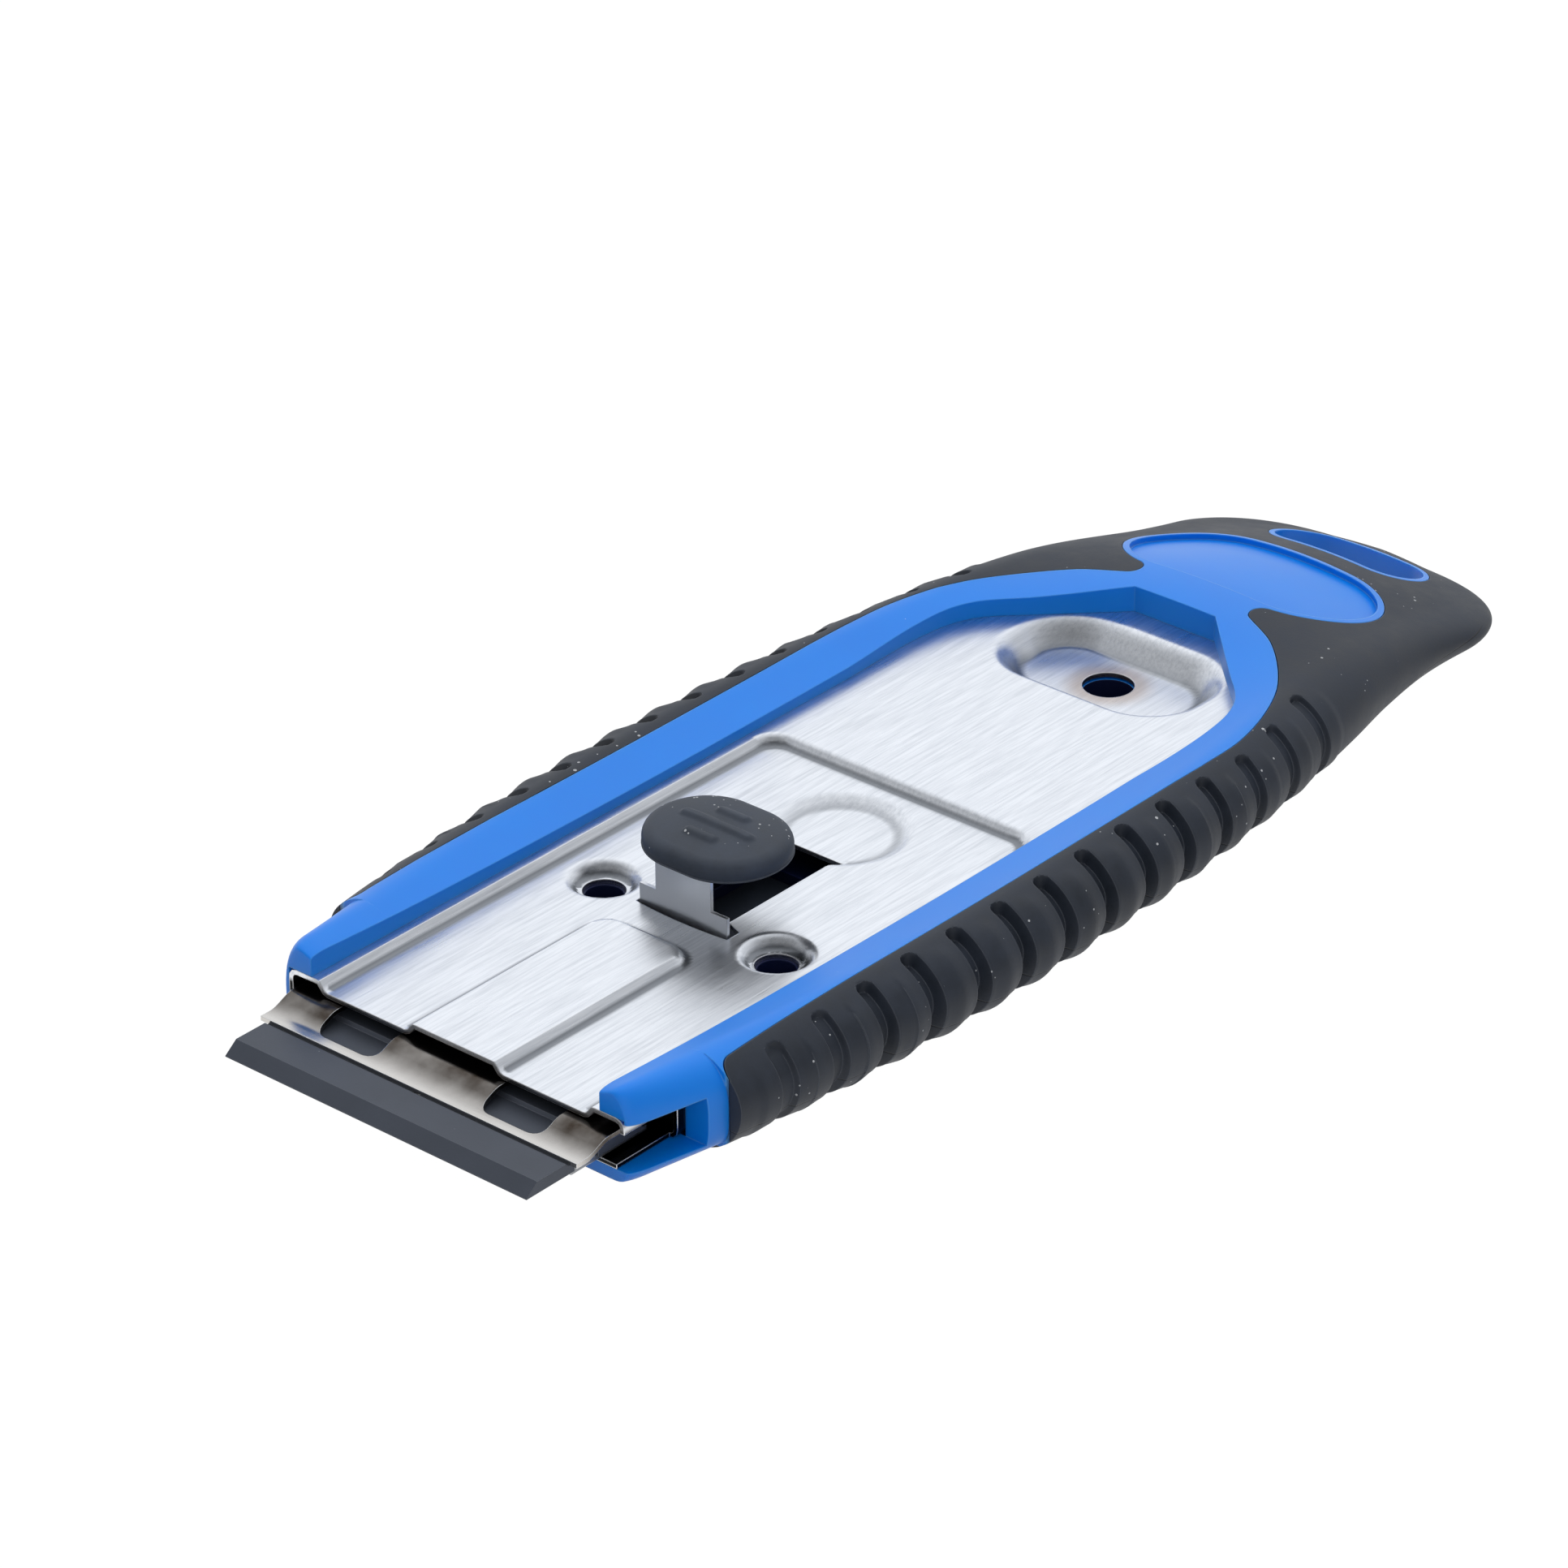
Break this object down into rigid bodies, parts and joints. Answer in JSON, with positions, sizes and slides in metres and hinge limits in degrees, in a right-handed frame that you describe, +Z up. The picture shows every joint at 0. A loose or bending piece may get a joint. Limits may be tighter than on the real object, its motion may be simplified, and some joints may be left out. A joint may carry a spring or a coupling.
{
  "type": "razor blade scraper",
  "caption": "Hand scraper with a flat sliding blade carriage in a pressed steel sheath, a raised thumb latch, a ribbed rubber grip and a hanging slot in its tail.",
  "frame": {"origin": "on the rest plane under the grip, midway between the blade's edge and the tail and on the middle line", "axes": "+Y points from the blade to the tail, +Z up off the surface that the tool lies on, +X to the side with the sheath's open pocket"},
  "size_m": [0.0582, 0.1562, 0.0154],
  "materials": {
    "core_plastic": "blue polypropylene, satin moulded",
    "grip_rubber": "black moulded elastomer, matt",
    "sheath_steel": "pressed bright sheet steel, brushed along its length",
    "jaw_steel": "plain sheet steel",
    "clamp_steel": "bright spring sheet, slightly bronze",
    "stud_steel": "turned steel",
    "blade_steel": "blackened blade steel, satin",
    "rivet_steel": "plain steel rivets",
    "spring_steel": "grey spring steel strip",
    "button_rubber": "dark moulded rubber, dusty"
  },
  "bodies": {
    "handle": {"handle_core": "core_plastic", "grip_overmould": "grip_rubber", "sheath_cover": "sheath_steel"},
    "carriage": {"blade_carrier": "jaw_steel", "blade_clamp": "clamp_steel", "blade_studs": "stud_steel", "blade": "blade_steel", "carriage_rivets": "rivet_steel"},
    "latch": {"latch_spring": "spring_steel", "latch_button": "button_rubber"}
  },
  "joints": [
    {"name": "carriage_slide", "type": "slide", "parent": "handle", "child": "carriage", "axis": [0, 1, 0], "range_m": [0, 0.017]},
    {"name": "latch_press", "type": "hinge", "parent": "carriage", "child": "latch", "pos_m": [0, -0.05475, 0.0054], "axis": [-1, 0, 0], "range_deg": [0, 8.5], "deforming": ["latch_spring"]}
  ],
  "couplings": [
    {"joint": "latch_press", "follows": "carriage_slide", "rad_per_m": 8.72}
  ]
}
